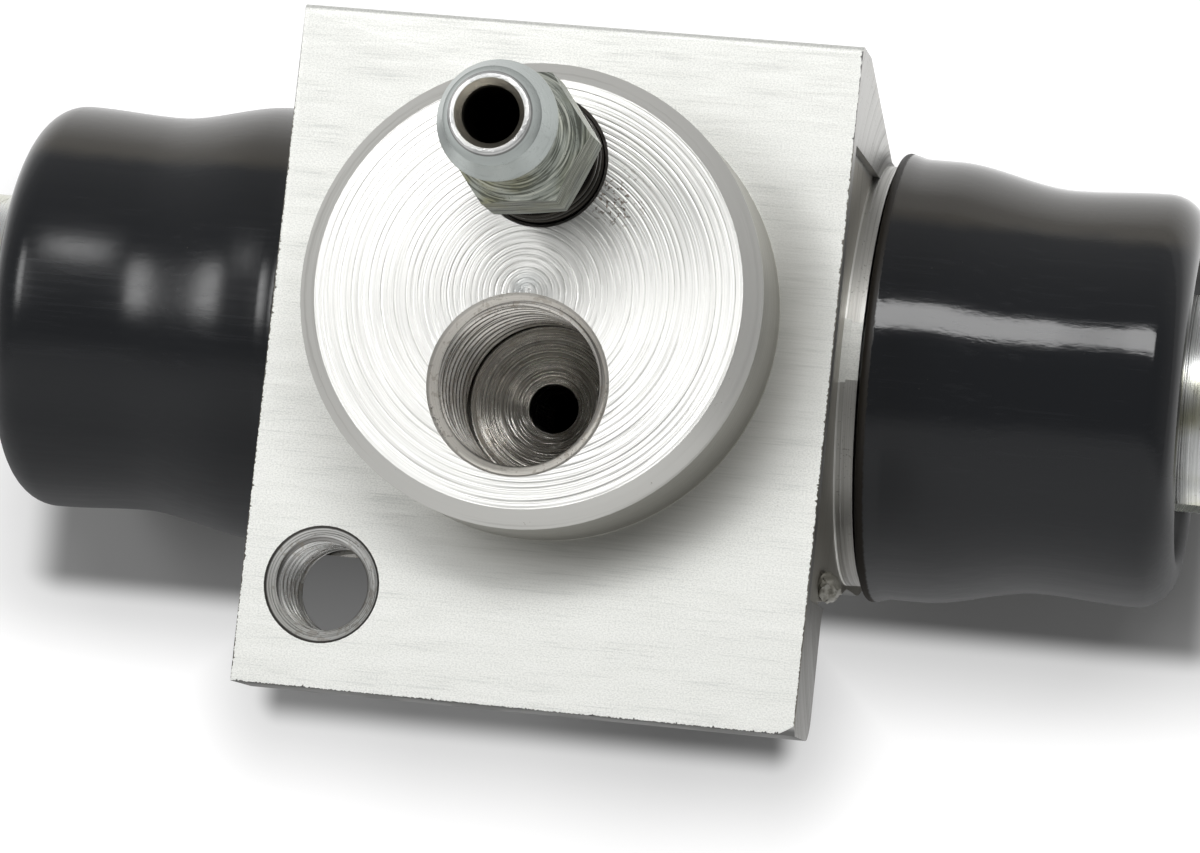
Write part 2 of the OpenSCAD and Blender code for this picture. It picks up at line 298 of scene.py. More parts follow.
def maths(operation, first, second=0.0):
    """An operation on one or two numbers."""
    return join("Math", {0: first, 1: second}, operation=operation).outputs[0]


def times(first, second):
    """The product of two numbers."""
    return maths("MULTIPLY", first, second)


def plus(first, second):
    """The sum of two numbers."""
    return maths("ADD", first, second)


def vector_maths(operation, first, second=(0, 0, 0)):
    """An operation on one or two vectors that gives a vector."""
    return join("VectorMath", {0: first, 1: second}, operation=operation).outputs[0]


def measure(operation, first, second=(0, 0, 0)):
    """An operation on one or two vectors that gives a number."""
    made = join("VectorMath", {0: first, 1: second}, operation=operation)
    return made.outputs["Value"]


def scaled(position, factor):
    """A position times a number."""
    sockets = {0: position, "Scale": factor}
    return join("VectorMath", sockets, operation="SCALE").outputs[0]


def split(position):
    """The X, Y and Z of a position."""
    return join("SeparateXYZ", {0: position}).outputs


def axis_distance(position):
    """Distance of a position from its Z axis."""
    return measure("LENGTH", vector_maths("MULTIPLY", position, (1, 1, 0)))


def ramp(value, low, high, out_low=0.0, out_high=1.0):
    """A smooth step of a value between two limits."""
    sockets = {"Value": value, "From Min": low, "From Max": high}
    sockets.update({"To Min": out_low, "To Max": out_high})
    return join("MapRange", sockets, interpolation_type="SMOOTHSTEP").outputs["Result"]


def blend_colours(share, first, second):
    """Mixes two colours, each a tuple or another node's output."""
    sockets = {0: share, 6: first, 7: second}
    for index in (6, 7):
        if isinstance(sockets[index], tuple):
            sockets[index] = (*sockets[index], 1)
    return join("Mix", sockets, data_type="RGBA").outputs[2]


def tint(colour, mask, strength, other):
    """Mixes another colour in by a mask times a strength."""
    return blend_colours(times(mask, strength), colour, other)


def stretched_noise(position, scale, detail=2.0, roughness=0.5):
    """Noise over a position in millimetres, with its own scale along each axis."""
    place = vector_maths("MULTIPLY", position, scale)
    sockets = {"Vector": place, "Scale": 1.0, "Detail": detail, "Roughness": roughness}
    return join("TexNoise", sockets).outputs["Fac"]


def start_group(name, inputs, outputs):
    """A node group with named sockets; returns its tree and its two end nodes."""
    tree = bpy.data.node_groups.new(name, "ShaderNodeTree")
    for label, kind in inputs:
        tree.interface.new_socket(label, in_out="INPUT", socket_type="NodeSocket" + kind)
    for label in outputs:
        tree.interface.new_socket(label, in_out="OUTPUT", socket_type="NodeSocketFloat")
    return tree, tree.nodes.new("NodeGroupInput"), tree.nodes.new("NodeGroupOutput")


def use(group, sockets):
    """Adds a node group; returns its outputs."""
    return join("Group", sockets, node_tree=group).outputs


def make_turning_marks():
    """Rings left by a lathe tool round the Z axis of the position."""
    inputs = (("Position", "Vector"), ("Rings per mm", "Float"), ("Breaks", "Float"))
    tree, ends_in, ends_out = start_group("turning_marks", inputs, ("Height", "Line", "Groove"))
    place = ends_in.outputs["Position"]
    flat = vector_maths("MULTIPLY", place, (1, 1, 0))
    radius = measure("LENGTH", flat)
    heading = vector_maths("NORMALIZE", flat)
    parts = split(scaled(heading, ends_in.outputs["Breaks"]))
    per_mm = ends_in.outputs["Rings per mm"]
    depth = times(split(place)["Z"], 1.7)
    rings = times(radius, per_mm)
    rings = plus(rings, times(depth, per_mm))
    sockets = {"X": rings, "Y": parts["X"], "Z": parts["Y"]}
    wound = join("CombineXYZ", sockets).outputs[0]
    noise = stretched_noise(wound, (1, 1, 1), 3.0, 0.6)
    set_socket(ends_out, "Height", noise)
    set_socket(ends_out, "Line", ramp(noise, 0.56, 0.7))
    drift = stretched_noise(wound, (0.16, 0.4, 0.4))
    turn = maths("FRACT", plus(times(rings, 0.62), drift))
    groove = times(ramp(turn, 0.5, 0.85), ramp(turn, 1.0, 0.9))
    lasting = vector_maths("MULTIPLY", wound, (0.55, 2.2, 2.2))
    lasting = vector_maths("ADD", lasting, (9, 4, 7))
    share = join("TexNoise", {"Vector": lasting, "Scale": 1.0, "Detail": 2.0}).outputs["Fac"]
    groove = times(groove, ramp(share, 0.36, 0.64, 0.2, 1.0))
    set_socket(ends_out, "Groove", groove)
    return tree


def make_brush_marks():
    """Fine straight lines along the X axis of the position."""
    inputs = (("Position", "Vector"), ("Lines per mm", "Float"))
    tree, ends_in, ends_out = start_group("brush_marks", inputs, ("Height", "Line"))
    fine = scaled(ends_in.outputs["Position"], ends_in.outputs["Lines per mm"])
    thin = stretched_noise(fine, (0.035, 1.0, 1.0), 2.0, 0.6)
    broad = stretched_noise(fine, (0.012, 0.16, 0.16), 2.0)
    height = plus(times(thin, 0.65), times(broad, 0.35))
    set_socket(ends_out, "Height", height)
    set_socket(ends_out, "Line", ramp(height, 0.54, 0.68))
    return tree


def make_specks():
    """Scattered grains, thickest where a slow noise is high."""
    inputs = (("Position", "Vector"), ("Grains per mm", "Float"), ("Share", "Float"))
    tree, ends_in, ends_out = start_group("specks", inputs, ("Mask", "Cloud"))
    fine = scaled(ends_in.outputs["Position"], ends_in.outputs["Grains per mm"])
    grain = stretched_noise(fine, (1, 1, 1), 2.0, 0.6)
    cloud = stretched_noise(fine, (0.12, 0.12, 0.12), 3.0)
    level = plus(times(grain, 0.7), times(cloud, 0.3))
    limit = maths("SUBTRACT", 0.85, times(ends_in.outputs["Share"], 0.5))
    over = maths("SUBTRACT", level, limit)
    set_socket(ends_out, "Mask", ramp(over, 0.0, 0.05))
    set_socket(ends_out, "Cloud", ramp(cloud, 0.4, 0.65))
    return tree


turning_marks = make_turning_marks()
brush_marks = make_brush_marks()
specks = make_specks()


def add_rings(position, per_mm, breaks):
    """Turning marks round the Z axis."""
    sockets = {"Position": position, "Rings per mm": per_mm, "Breaks": breaks}
    return use(turning_marks, sockets)


def add_lines(position, per_mm):
    """Brush marks along the X axis."""
    return use(brush_marks, {"Position": position, "Lines per mm": per_mm})


def add_grains(position, per_mm, share):
    """Specks over a share of the surface."""
    return use(specks, {"Position": position, "Grains per mm": per_mm, "Share": share})


def start_material(name, colour, roughness, metallic=1.0):
    """A material with a Principled shader, and the object position in millimetres."""
    material = bpy.data.materials.new(name)
    material.use_nodes = True
    material.diffuse_color = (*colour, 1)
    tree = material.node_tree
    shader = tree.nodes["Principled BSDF"]
    shader.inputs["Base Color"].default_value = (*colour, 1)
    shader.inputs["Roughness"].default_value = roughness
    shader.inputs["Metallic"].default_value = metallic
    return material, shader, scaled(node(tree, "TexCoord").outputs["Object"], 1 / MM)


def moved(position, centre):
    """The position measured from a point that is given in metres."""
    return vector_maths("SUBTRACT", position, [c / MM for c in centre])


def end_on(position):
    """The position with its axes passed round, so that X becomes Z."""
    parts = split(position)
    sockets = {"X": parts["Y"], "Y": parts["Z"], "Z": parts["X"]}
    return join("CombineXYZ", sockets).outputs[0]


def along_bore(position):
    """The position turned so that the bore runs along Z."""
    return end_on(moved(position, bore_axis))


def set_bump(shader, height, depth, rounded=0.05):
    """Bump of a depth in millimetres, over edges that are slightly rounded."""
    sockets = {"Height": height, "Distance": depth * MM, "Strength": 1.0}
    if rounded:
        bevel = node(shader.id_data, "Bevel", {"Radius": rounded * MM}, samples=4)
        sockets["Normal"] = bevel.outputs[0]
    set_socket(shader, "Normal", join("Bump", sockets).outputs["Normal"])


def set_roughness(shader, height, low, high):
    """Roughness between two limits, over the middle range of a noise."""
    set_socket(shader, "Roughness", ramp(height, 0.3, 0.7, low, high))


# Materials of the aluminium block

def milled_plate():
    """Streaked and grainy, with a painted shadow of the spigot to the right of it and below it."""
    material, shader, position = start_material("milled_plate", (0.9, 0.905, 0.88), 0.55)
    marks = add_lines(position, 9.0)
    grit = add_grains(position, 7.0, 0.34)
    grain = stretched_noise(position, (9.0, 13.0, 13.0), 2.0, 0.7)
    colour = blend_colours(marks["Line"], (0.92, 0.925, 0.895), (0.84, 0.85, 0.825))
    colour = blend_colours(ramp(grain, 0.35, 0.7, 0.0, 0.4), colour, (0.55, 0.56, 0.54))
    colour = tint(colour, grit["Mask"], 0.35, (0.45, 0.42, 0.38))
    # Painted shadow: the plate is darkened within a few mm of the spigot, to its right and below it, where the
    # spigot shades it.
    radius = axis_distance(position)
    spread = plus(radius, times(grain, 1.6))
    rub_marks_and_painted_shade = ramp(spread, spigot_r / MM + 4.6, spigot_r / MM + 0.6, 0.0, 0.68)
    lean = measure("DOT_PRODUCT", position, (0.72, -0.69, 0))
    rub_marks_and_painted_shade = times(rub_marks_and_painted_shade, ramp(lean, 0.0, 9.0))
    colour = blend_colours(rub_marks_and_painted_shade, colour, (0.28, 0.275, 0.25))
    set_socket(shader, "Base Color", colour)
    set_roughness(shader, marks["Height"], 0.62, 0.72)
    shader.inputs["Anisotropic"].default_value = 0.4
    lengthwise = node(shader.id_data, "CombineXYZ", {"X": 1.0}).outputs[0]
    set_socket(shader, "Tangent", lengthwise)
    height = plus(marks["Height"], times(grain, 0.5))
    set_bump(shader, height, 0.006)
    return material


def turned_face():
    """The spigot's face: broken rings round its axis and a smudged pip in the middle."""
    material, shader, position = start_material("turned_face", (0.88, 0.88, 0.855), 0.42)
    rings = add_rings(position, 4.8, 0.6)
    fine = add_rings(position, 11.0, 0.7)
    grit = add_grains(position, 6.0, 0.3)
    colour = tint((0.88, 0.88, 0.855), rings["Groove"], 0.6, (0.42, 0.42, 0.4))
    colour = tint(colour, rings["Line"], 0.3, (0.6, 0.6, 0.58))
    colour = tint(colour, fine["Groove"], 0.5, (0.5, 0.5, 0.48))
    radius = axis_distance(position)
    pip = times(ramp(radius, 1.7, 0.4), grit["Cloud"])
    colour = tint(colour, pip, 0.7, (0.5, 0.52, 0.52))
    from_screw = measure("DISTANCE", position, (4.4, 5.6, spigot_top / MM))
    soil = add_grains(position, 4.0, 0.58)
    soiled = times(ramp(from_screw, 2.4, 0.6), soil["Mask"])
    colour = tint(colour, soiled, 0.8, (0.14, 0.1, 0.07))
    colour = tint(colour, grit["Mask"], 0.4, (0.4, 0.34, 0.28))
    set_socket(shader, "Base Color", colour)
    set_roughness(shader, rings["Height"], 0.36, 0.5)
    shader.inputs["Anisotropic"].default_value = 0.5
    set_socket(shader, "Tangent", vector_maths("CROSS_PRODUCT", (0, 0, 1), position))
    height = maths("SUBTRACT", times(rings["Height"], 0.5), rings["Groove"])
    height = maths("SUBTRACT", height, times(fine["Groove"], 0.3))
    set_bump(shader, height, 0.011)
    return material


def turned_rim():
    """The spigot's chamfer, and its wall, which is painted darker as shade and has a painted highlight along its
    foot.
    """
    material, shader, position = start_material("turned_rim", (0.58, 0.575, 0.545), 0.4)
    rings = add_rings(position, 4.0, 0.6)
    grit = add_grains(position, 5.0, 0.34)
    height = split(position)["Z"]
    # Painted shade: below the chamfer the wall gets a darker copy of the chamfer's colour.
    chamfer = ramp(height, 6.7, 6.95)
    colour = blend_colours(chamfer, (0.42, 0.41, 0.375), (0.68, 0.675, 0.645))
    colour = tint(colour, rings["Line"], 0.4, (0.42, 0.41, 0.38))
    colour = tint(colour, grit["Mask"], 0.5, (0.2, 0.17, 0.13))
    # Painted highlight: a pale line along the foot of the wall.
    foot = ramp(height, 0.3, 0.1)
    colour = blend_colours(foot, colour, (0.75, 0.74, 0.68))
    set_socket(shader, "Base Color", colour)
    set_roughness(shader, rings["Height"], 0.34, 0.48)
    set_bump(shader, rings["Height"], 0.006)
    return material


def sawn_end():
    """The block's ends: pale at the head, and streaked where they are faced, with painted shade over the faced
    part that deepens towards the bottom.
    """
    material, shader, position = start_material("sawn_end", (0.6, 0.595, 0.58), 0.3)
    across = split(position)["Y"]
    marks = add_lines(end_on(position), 5.0)
    grit = add_grains(position, 3.0, 0.36)
    colour = blend_colours(marks["Line"], (0.6, 0.595, 0.58), (0.53, 0.52, 0.5))
    # The faced part is streaked, and painted darker as shade, more so towards the bottom by the collar.
    darkened_share = ramp(across, FACED_HIGH / MM - 0.05, FACED_HIGH / MM - 0.5)
    streaked = blend_colours(marks["Line"], (0.46, 0.44, 0.39), (0.28, 0.265, 0.225))
    darker = ramp(across, 3.0, -9.0, 0.0, 0.6)
    streaked = blend_colours(darker, streaked, (0.13, 0.122, 0.1))
    colour = blend_colours(darkened_share, colour, streaked)
    colour = tint(colour, grit["Mask"], 0.4, (0.3, 0.27, 0.22))
    set_socket(shader, "Base Color", colour)
    set_socket(shader, "Metallic", ramp(darkened_share, 0.0, 1.0, 1.0, 0.8))
    set_roughness(shader, marks["Height"], 0.38, 0.5)
    set_bump(shader, marks["Height"], 0.004)
    return material


def turned_neck():
    """The necks: fine rings round the bore, with painted shade below and in the groove, and a painted highlight
    line at the root.
    """
    material, shader, position = start_material("turned_neck", (0.84, 0.84, 0.83), 0.28)
    turned = along_bore(position)
    rings = add_rings(turned, 7.0, 0.5)
    grit = add_grains(position, 6.0, 0.5)
    colour = tint((0.52, 0.515, 0.495), rings["Line"], 0.6, (0.3, 0.295, 0.28))
    colour = tint(colour, grit["Mask"], 0.5, (0.14, 0.13, 0.115))
    parts = split(position)
    # Painted shade on the underside of the neck.
    underside = ramp(parts["Y"], -7.0, -11.0, 0.0, 0.8)
    colour = blend_colours(underside, colour, (0.1, 0.095, 0.085))
    along = maths("ABSOLUTE", parts["X"])
    # Painted highlight: a pale line at the root of the collar, by the faced end.
    root = ramp(along, FACED_END / MM + 0.14, FACED_END / MM + 0.08)
    colour = blend_colours(root, colour, (0.75, 0.75, 0.73))
    # Painted shade in the groove between the collar and the boot.
    radius = axis_distance(turned)
    colour = blend_colours(ramp(radius, 12.45, 12.3), colour, (0.05, 0.05, 0.048))
    set_socket(shader, "Base Color", colour)
    set_roughness(shader, rings["Height"], 0.34, 0.48)
    uneven = plus(rings["Height"], times(grit["Mask"], 0.5))
    set_bump(shader, uneven, 0.008)
    return material


def extruded_skin():
    """The walls as they left the die: long soft lines and a dull grey, with painted shade on the foot wall and
    below the bore.
    """
    material, shader, position = start_material("extruded_skin", (0.5, 0.5, 0.49), 0.42)
    marks = add_lines(position, 2.2)
    grit = add_grains(position, 2.5, 0.34)
    colour = blend_colours(marks["Line"], (0.52, 0.52, 0.51), (0.42, 0.42, 0.41))
    colour = tint(colour, grit["Mask"], 0.35, (0.42, 0.4, 0.37))
    parts = split(position)
    # Painted shade: the foot wall and the underside below the bore are painted nearly black, and made less
    # metallic and rougher.
    foot = ramp(parts["Y"], body_low.y / MM + 0.5, body_low.y / MM + 0.2)
    behind = ramp(parts["Z"], -8.0, -10.0)
    below_bore = times(ramp(parts["Y"], -12.3, -12.6), behind)
    foot = maths("MAXIMUM", foot, below_bore)
    colour = tint(colour, foot, 0.8, (0.1, 0.1, 0.095))
    set_socket(shader, "Base Color", colour)
    set_socket(shader, "Metallic", ramp(foot, 0.0, 1.0, 1.0, 0.15))
    skin = ramp(grit["Cloud"], 0.0, 1.0, 0.36, 0.5)
    set_socket(shader, "Roughness", plus(skin, times(foot, 0.3)))
    set_bump(shader, marks["Height"], 0.012)
    return material


def torn_metal():
    """The burr: dull, crumbling metal."""
    material, shader, position = start_material("torn_metal", (0.24, 0.23, 0.195), 0.55, 0.3)
    crumbs = add_grains(position, 4.0, 0.5)
    colour = blend_colours(crumbs["Mask"], (0.24, 0.23, 0.195), (0.08, 0.075, 0.06))
    set_socket(shader, "Base Color", colour)
    set_socket(shader, "Roughness", ramp(crumbs["Cloud"], 0.0, 1.0, 0.45, 0.65))
    set_bump(shader, crumbs["Mask"], 0.05, rounded=0)
    return material


def tapped_hole(name, centre, root_r, crest_r, mouth_r, outline, fresh, dull, clean):
    """A threaded wall: pale at its mouth, with painted shade deeper down, in the roots and along the lip, painted
    glints on the rings near the bottom, and brown soil.
    """
    material, shader, position = start_material(name, clean, 0.3)
    root, crest, mouth, lip = root_r / MM, crest_r / MM, mouth_r / MM, centre.z / MM
    local = moved(position, (centre.x, centre.y, 0))
    radius = axis_distance(local)
    height = split(position)["Z"]
    below = ramp(height, lip + 0.1, lip - 0.1)
    rings = add_rings(local, 5.0, 0.5)
    soil = add_grains(position, 2.4, 0.6)
    fine = add_grains(position, 7.0, 0.5)
    colour = tint(clean, rings["Line"], 0.8, dull)
    colour = tint(colour, rings["Groove"], 0.8, (0.08, 0.075, 0.065))
    # Painted shade: darker deeper in the hole.
    deep = ramp(height, lip - 1.5, lip - 8.5, 0.0, 0.4)
    colour = blend_colours(deep, colour, (0.2, 0.185, 0.16))
    # Painted glints: near-white rings on the cone near the bottom of the hole.
    inner = ramp(radius, root - 1.3, root - 2.6)
    bright = times(inner, ramp(rings["Height"], 0.56, 0.46))
    colour = tint(colour, bright, 0.8, (0.95, 0.93, 0.9))
    # Painted shade in the thread roots.
    groove = times(ramp(radius, root + 0.06, crest - 0.14), below)
    colour = tint(colour, groove, 0.92, (0.04, 0.037, 0.033))
    above = maths("SUBTRACT", 1.0, below)
    colour = tint(colour, above, fresh, clean)
    # Painted shadow: a dark line along the lip where the thread starts.
    edge = ramp(maths("ABSOLUTE", maths("SUBTRACT", height, lip)), 0.13, 0.05)
    colour = tint(colour, edge, 0.6, (0.1, 0.09, 0.08))
    stain = times(soil["Cloud"], fine["Mask"])
    colour = tint(colour, soil["Mask"], 0.3, (0.3, 0.24, 0.17))
    colour = tint(colour, stain, 0.7, (0.1, 0.08, 0.06))
    rim = times(ramp(radius, mouth - 0.2, mouth - 0.1), above)
    colour = tint(colour, rim, outline, (0.06, 0.055, 0.05))
    set_socket(shader, "Base Color", colour)
    wall = ramp(rings["Height"], 0.3, 0.7, 0.18, 0.34)
    set_socket(shader, "Roughness", plus(wall, times(above, 0.25)))
    uneven = plus(rings["Height"], times(fine["Mask"], 0.3))
    worked = ramp(radius, root - 0.2, root - 0.6, 0.25, 2.6)
    set_bump(shader, times(uneven, worked), 0.014)
    return material


# Materials of the other pieces

def zinc_screw():
    """Grey zinc on the nipple, olive stains over the hexagon with painted shade towards +X, a drilling painted
    darker deeper down, and an oily thread with painted shade and glints.
    """
    material, shader, position = start_material("zinc_screw", (0.44, 0.47, 0.47), 0.4)
    local = moved(position, (bleed_axis.x, bleed_axis.y, 0))
    parts = split(local)
    height = parts["Z"]
    radius = axis_distance(local)
    rings = add_rings(local, 4.0, 1.6)
    soil = add_grains(local, 3.2, 0.62)
    fine = add_grains(local, 8.0, 0.5)
    stained = times(ramp(height, 21.6, 20.8), ramp(height, 11.0, 12.5))
    colour = tint((0.49, 0.525, 0.51), rings["Line"], 0.3, (0.34, 0.365, 0.355))
    colour = tint(colour, fine["Mask"], 0.25, (0.2, 0.21, 0.2))
    olive = times(stained, ramp(soil["Cloud"], 0.0, 0.8, 0.35, 0.95))
    colour = blend_colours(olive, colour, (0.33, 0.33, 0.22))
    # Painted shade: the stained part is darker towards +X, away from the lamps.
    away = times(stained, ramp(parts["X"], -1.5, 3.5))
    colour = tint(colour, away, 0.65, (0.24, 0.265, 0.235))
    streaks = stretched_noise(local, (0.4, 0.4, 6.5), 3.0, 0.55)
    dark = times(stained, ramp(streaks, 0.49, 0.59))
    colour = tint(colour, dark, 0.8, (0.07, 0.075, 0.06))
    pale = times(stained, ramp(streaks, 0.47, 0.36))
    colour = tint(colour, pale, 0.6, (0.7, 0.71, 0.63))
    darkened_share = times(stained, fine["Mask"])
    colour = tint(colour, darkened_share, 0.45, (0.04, 0.04, 0.03))
    bare = times(ramp(height, 23.5, 23.66), ramp(radius, 1.86, 1.94))
    worn = ramp(soil["Cloud"], 0.2, 0.9, 0.0, 0.6)
    worn = blend_colours(worn, (0.72, 0.72, 0.71), (0.4, 0.41, 0.41))
    colour = blend_colours(bare, colour, worn)
    ring_edge = ramp(maths("ABSOLUTE", maths("SUBTRACT", radius, 2.24)), 0.06, 0.02)
    ring_edge = times(ring_edge, ramp(height, 22.9, 23.2, 0.0, 0.8))
    colour = blend_colours(ring_edge, colour, (0.1, 0.105, 0.1))
    # Painted shade: the drilling darkens deeper down, below its pale mouth.
    inside = times(ramp(radius, 1.94, 1.84), ramp(height, 12.0, 12.5))
    bore = blend_colours(ramp(height, 22.4, 23.4), (0.035, 0.03, 0.022), (0.55, 0.52, 0.45))
    colour = blend_colours(inside, colour, bore)
    # The stem's thread under the hexagon: oily, painted darker as shade, with painted glints on its crests.
    oily_shaded_thread = blend_colours(ramp(radius, 3.36, 3.49), (0.01, 0.009, 0.008), (0.06, 0.056, 0.048))
    colour = blend_colours(ramp(height, 11.5, 11.1), colour, oily_shaded_thread)
    set_socket(shader, "Base Color", colour)
    set_socket(shader, "Roughness", ramp(stained, 0.0, 1.0, 0.36, 0.42))
    bumps = plus(rings["Height"], times(soil["Mask"], 0.8))
    set_bump(shader, bumps, 0.008)
    return material


def zinc_piston():
    """Turned steel with a yellowed zinc coat."""
    material, shader, position = start_material("zinc_piston", (0.66, 0.67, 0.65), 0.27)
    turned = along_bore(position)
    rings = add_rings(turned, 6.0, 0.4)
    soil = add_grains(position, 2.0, 0.5)
    colour = tint((0.7, 0.71, 0.7), rings["Line"], 0.5, (0.42, 0.42, 0.4))
    colour = tint(colour, soil["Cloud"], 0.75, (0.44, 0.43, 0.27))
    colour = tint(colour, soil["Mask"], 0.5, (0.16, 0.15, 0.1))
    set_socket(shader, "Base Color", colour)
    set_roughness(shader, rings["Height"], 0.2, 0.38)
    set_bump(shader, rings["Height"], 0.01)
    return material


def boot_rubber():
    """Satin black rubber with faint scuffs, dust, a painted reflection along the top and a slightly uneven skin.
    """
    material, shader, position = start_material("boot_rubber", (0.010, 0.011, 0.013), 0.18, 0.0)
    waves = stretched_noise(position, (0.25, 0.35, 0.35), 2.0)
    skin = stretched_noise(position, (1.6, 3.4, 3.4), 3.0, 0.6)
    rub_marks_and_painted_shade = add_lines(position, 3.5)
    dust = add_grains(position, 3.2, 0.28)
    colour = tint((0.009, 0.010, 0.012), rub_marks_and_painted_shade["Line"], 0.25, (0.022, 0.023, 0.026))
    colour = tint(colour, dust["Mask"], 0.5, (0.12, 0.115, 0.1))
    parts = split(position)
    # Painted reflection: a warm, paler band along the top of each boot.
    top_painted_reflection = ramp(plus(parts["Y"], waves), 8.0, 9.2, 0.0, 0.7)
    colour = blend_colours(top_painted_reflection, colour, (0.06, 0.053, 0.042))
    along = maths("ABSOLUTE", parts["X"])
    from_edge = plus(along, times(skin, 0.2))
    rim = ramp(from_edge, boot_low.x / MM + 0.7, boot_low.x / MM + 0.55)
    colour = blend_colours(rim, colour, (0.012, 0.009, 0.006))
    set_socket(shader, "Base Color", colour)
    gloss = ramp(rub_marks_and_painted_shade["Height"], 0.25, 0.75, 0.07, 0.13)
    handled = ramp(parts["X"], 0.0, -18.0, 0.0, 0.12)
    dusty = ramp(parts["Y"], -3.0, -8.5, 0.0, 0.45)
    dulled = plus(plus(handled, dusty), times(rim, 0.45))
    set_socket(shader, "Roughness", plus(gloss, dulled))
    shader.inputs["Specular IOR Level"].default_value = 0.42
    height = plus(times(waves, 2.0), skin)
    height = plus(height, times(rub_marks_and_painted_shade["Height"], 0.8))
    set_bump(shader, height, 0.004, rounded=0)
    return material


def seal_rubber():
    """Moulded black rubber."""
    material, shader, position = start_material("seal_rubber", (0.02, 0.02, 0.021), 0.4, 0.0)
    skin = stretched_noise(position, (3.0, 3.0, 3.0), 3.0)
    colour = blend_colours(skin, (0.014, 0.014, 0.015), (0.03, 0.03, 0.032))
    set_socket(shader, "Base Color", colour)
    set_roughness(shader, skin, 0.32, 0.48)
    set_bump(shader, skin, 0.006, rounded=0)
    return material


def spring_steel():
    """Drawn wire and pressed discs."""
    material, shader, position = start_material("spring_steel", (0.45, 0.46, 0.48), 0.32)
    drawn = add_grains(position, 5.0, 0.4)
    colour = blend_colours(drawn["Cloud"], (0.5, 0.51, 0.53), (0.36, 0.36, 0.37))
    set_socket(shader, "Base Color", colour)
    set_socket(shader, "Roughness", ramp(drawn["Cloud"], 0.0, 1.0, 0.26, 0.4))
    set_bump(shader, drawn["Cloud"], 0.004, rounded=0)
    return material


# The machined block

def plate_borders(co):
    """Names of the plate's borders that a point lies on."""
    if abs(co.z) > NEAR:
        return set()
    gaps = {
        "left": co.x + BLOCK_HALF,
        "right": co.x - BLOCK_HALF,
        "foot": co.y - body_low.y,
    }
    return {name for name, gap in gaps.items() if abs(gap) < NEAR}


def bisect_faces(piece, chosen, place, way):
    """Cuts the line of a plane into the faces that pass a test."""
    edit(piece, "FACE")
    done()
    for face in piece.data.polygons:
        face.select = bool(chosen(face))
    bpy.ops.object.mode_set(mode="EDIT")
    bpy.ops.mesh.bisect(plane_co=place, plane_no=way)


def tear_edges(block):
    """Breaks up the plate's edges, which the saw and the mill left ragged."""
    wall_band, nick_share, nick_depth, sink = 0.4 * EDGE_BAND, 0.06, 2.2, 0.1

    def on_plate(face):
        return face.normal.z > SQUARE and abs(face.center.z) < NEAR

    def on_wall(face):
        return max(abs(face.normal.x), -face.normal.y) > SQUARE and face.center.z < 0

    def too_long(a, b):
        return (a - b).length > EDGE_STEP and plate_borders(a) & plate_borders(b)

    for place, way in (
        ((EDGE_BAND - BLOCK_HALF, 0, 0), (1, 0, 0)),
        ((BLOCK_HALF - EDGE_BAND, 0, 0), (1, 0, 0)),
        ((0, body_low.y + EDGE_BAND, 0), (0, 1, 0)),
    ):
        bisect_faces(block, on_plate, place, way)
    bisect_faces(block, on_wall, (0, 0, -wall_band), (0, 0, 1))
    edit(block, "EDGE")
    while select_edges(block, too_long):
        bpy.ops.mesh.subdivide(number_cuts=1)
    done()
    for vertex in block.data.vertices:
        borders = plate_borders(vertex.co)
        nick = nick_depth if random.random() < nick_share else 1.0
        bite = TEAR * nick * random.random()
        if "left" in borders:
            vertex.co.x += bite
        if "right" in borders:
            vertex.co.x -= bite
        if "foot" in borders:
            vertex.co.y += bite
        if borders:
            vertex.co.z -= sink * bite


def chip_corner(block):
    """Knocks off the plate's lower right corner."""
    chip_x, chip_y, chip_z = 0.85, 0.55, 0.6
    edit_all(block)
    corner = Vector((BLOCK_HALF, body_low.y, 0))
    bpy.ops.mesh.bisect(
        plane_co=corner + Vector((-chip_x, 0, 0)) * MM,
        plane_no=Vector((1 / chip_x, -1 / chip_y, 1 / chip_z)).normalized(),
        use_fill=True,
        clear_outer=True,
    )
    done()


def port_relief():
    """A ring cut at the foot of the port's thread."""
    inner, outer, depth, bevel = port_r - 0.3 * MM, PORT_CREST_R, 10 * MM, 0.2 * MM
    low, high = spigot_top - depth + 0.02 * MM, PORT_THREAD_END
    section = [(inner, low), (outer - bevel, low), (outer, low + bevel)]
    section += [(outer, high - 0.3 * MM), (inner, high), (inner, low)]
    return lathe_upright("port_relief", section, port)


def end_facing(side):
    """A flat cut into one end of the block round its neck, from below the head to the burr."""
    overrun, collar_gap = 0.4 * MM, 0.02 * MM
    low = Vector((FACED_END, FACED_LOW, body_low.z - MM))
    high = Vector((BLOCK_HALF + overrun, FACED_HIGH, FACED_FRONT))
    middle, size = (low + high) / 2, high - low
    cutter = add(bpy.ops.mesh.primitive_cube_add, "end_facing", size=1)
    bpy.ops.object.mode_set(mode="EDIT")
    bpy.ops.transform.resize(value=size)
    bpy.ops.transform.translate(value=(side * middle.x, middle.y, middle.z))
    done()
    collar = add(
        bpy.ops.mesh.primitive_cylinder_add, "kept_collar",
        vertices=128, radius=COLLAR_R + collar_gap, depth=4 * MM,
        location=(side * BLOCK_HALF, 0, bore_axis.z), rotation=(0, math.pi / 2, 0),
    )
    bpy.ops.object.transform_apply()
    boolean(cutter, collar, "DIFFERENCE")
    return cutter


